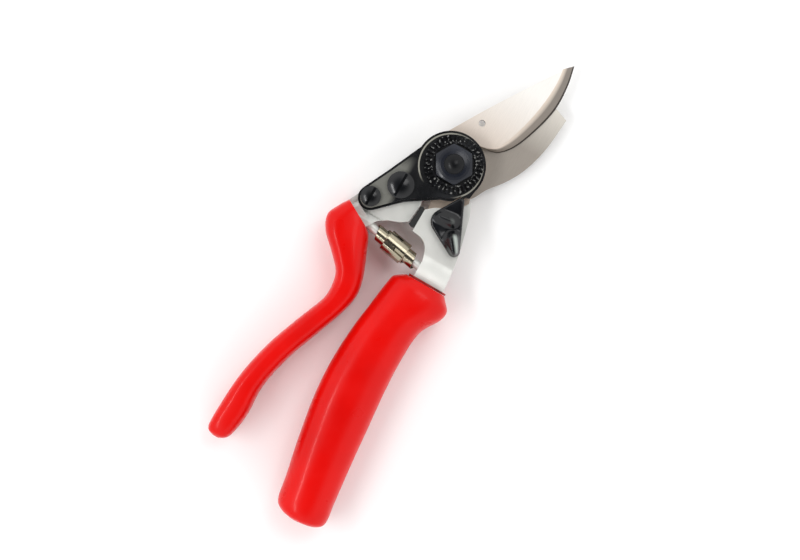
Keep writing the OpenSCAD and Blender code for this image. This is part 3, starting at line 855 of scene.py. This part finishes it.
def thumb_catch():
    """The thumb catch: a leaf-shaped lever with a ridge over its pin and a ridged pad at the long end."""
    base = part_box("thumb_catch")[0].z / MM
    outline = catch_outline(PLAN_SIDES)
    count = len(outline)
    pairs = [(outline[i - 1], outline[i]) for i in range(count)]
    rows = []
    for offset in RIM_OFFSETS:
        rows.append([p.lerp(CATCH_AT, offset / (p - CATCH_AT).length) for p in outline])
    inner = rows[-1]
    rows += [[p.lerp(CATCH_AT, i / TOP_STEPS) for p in inner] for i in range(1, TOP_STEPS)]
    verts = []
    for row in rows:
        for p in row:
            rim = min(to_segment(p, a, b) for a, b in pairs)
            verts.append((p.x, p.y, base + catch_top(p, rim)))
    under = [[(p.x, p.y, base) for p in outline]]
    bore = [CATCH_AT + (p - CATCH_AT).normalized() * CATCH_BORE_R for p in outline]
    under.append([(p.x, p.y, base) for p in bore])
    under.append([(p.x, p.y, base + CATCH_T - BORE_CEILING) for p in bore])
    rings = [verts[i * count:(i + 1) * count] for i in range(len(rows))]
    obj = loft("thumb_catch_lever", list(reversed(rings)) + under)
    edge_sharpness(obj, angle=50)
    return obj


# ---------------------------------------------------------------- put together

def finish_piece(obj, material, node, body=None):
    """Gives a new piece its finish, slot and replaced node, and its body unless it bends."""
    for each in material if isinstance(material, tuple) else (material,):
        obj.data.materials.append(each)
    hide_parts(node)
    if body:
        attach(obj, body)
    return obj


def build_pieces():
    """Finishes the kept CAD nodes and adds the pieces that are made again here."""
    dress_cad_nodes()
    finish_piece(left_grip(), RED, "left_grip", "anvil_side")
    finish_piece(roller_grip(), RED, "roller_grip", "rolling_handle")
    finish_piece(blade(), (FACE_STEEL, BEVEL_STEEL, PAINTED_SHADE_STEEL), "blade", "blade_side")
    finish_piece(thumb_catch(), CATCH_BLACK, "thumb_catch", "catch")
    strip = finish_piece(spring(), CHROME, "volute_spring")
    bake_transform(strip)


# ---------------------------------------------------------------- studio

TENT_WALL = 1.2
TENT_TOP = 0.07
TENT_RISE = (0.7, 0.98)
FLOOR_REACH = 1.6
FLOOR_GAP = 0.0002
VIEW_WIDTH = 0.3145
VIEW_CENTER = (-0.04966, -0.00429, 0.012)
VIEW_TURN = -60
LENS = 85
SENSOR = 36


def area_light(name, place, target, size, energy):
    """A soft box at a place, aimed at the target."""
    lamp = bpy.data.lights.new(name, "AREA")
    lamp.shape = "RECTANGLE"
    lamp.size, lamp.size_y = size
    lamp.energy = energy
    obj = bpy.data.objects.new(name, lamp)
    obj.location = place
    obj.rotation_euler = (Vector(target) - Vector(place)).to_track_quat("-Z", "Y").to_euler()
    bpy.context.scene.collection.objects.link(obj)


def studio():
    """White paper floor, an even pale surround and soft boxes above."""
    mesh = bpy.data.meshes.new("floor")
    corners = [(x * FLOOR_REACH, y * FLOOR_REACH, 0) for x, y in ((-1, -1), (1, -1), (1, 1), (-1, 1))]
    mesh.from_pydata(corners, [], [(0, 1, 2, 3)])
    floor = bpy.data.objects.new("floor", mesh)
    floor.location = (0, 0, cad_box[0][2] - FLOOR_GAP)
    floor.data.materials.append(floor_paper())
    bpy.context.scene.collection.objects.link(floor)

    surround()
    area_light("key", place=(-0.35, 0.3, 0.6), target=(-0.05, 0, 0.01), size=(0.5, 0.06), energy=1.4)
    area_light("tip", place=(0.34, -0.1, 0.8), target=(0.03, -0.01, 0.01), size=(0.36, 0.36), energy=1.3)


def surround():
    """A studio tent: bright walls, and a darker opening overhead where the camera looks through."""
    world = bpy.data.worlds.new("studio")
    world.use_nodes = True
    nodes, links = world.node_tree.nodes, world.node_tree.links
    coordinates = nodes.new("ShaderNodeTexCoord")
    parts = nodes.new("ShaderNodeSeparateXYZ")
    links.new(coordinates.outputs["Generated"], parts.inputs["Vector"])
    strength = nodes.new("ShaderNodeMapRange")
    strength.interpolation_type = "SMOOTHSTEP"
    strength.inputs["From Min"].default_value = TENT_RISE[0]
    strength.inputs["From Max"].default_value = TENT_RISE[1]
    strength.inputs["To Min"].default_value = TENT_WALL
    strength.inputs["To Max"].default_value = TENT_TOP
    links.new(parts.outputs["Z"], strength.inputs["Value"])
    links.new(strength.outputs["Result"], nodes["Background"].inputs["Strength"])
    nodes["Background"].inputs["Color"].default_value = (1, 1, 1, 1)
    bpy.context.scene.world = world


def camera():
    """Straight above, with the tool's jaws pointing up and to the right as in the picture."""
    data = bpy.data.cameras.new("camera")
    data.lens = LENS
    data.sensor_width = SENSOR
    distance = VIEW_WIDTH * LENS / SENSOR
    obj = bpy.data.objects.new("camera", data)
    obj.location = (VIEW_CENTER[0], VIEW_CENTER[1], VIEW_CENTER[2] + distance)
    obj.rotation_euler = (0, 0, math.radians(VIEW_TURN))
    bpy.context.scene.collection.objects.link(obj)
    bpy.context.scene.camera = obj


build_pieces()
studio()
camera()
bpy.context.scene.view_settings.view_transform = "Standard"
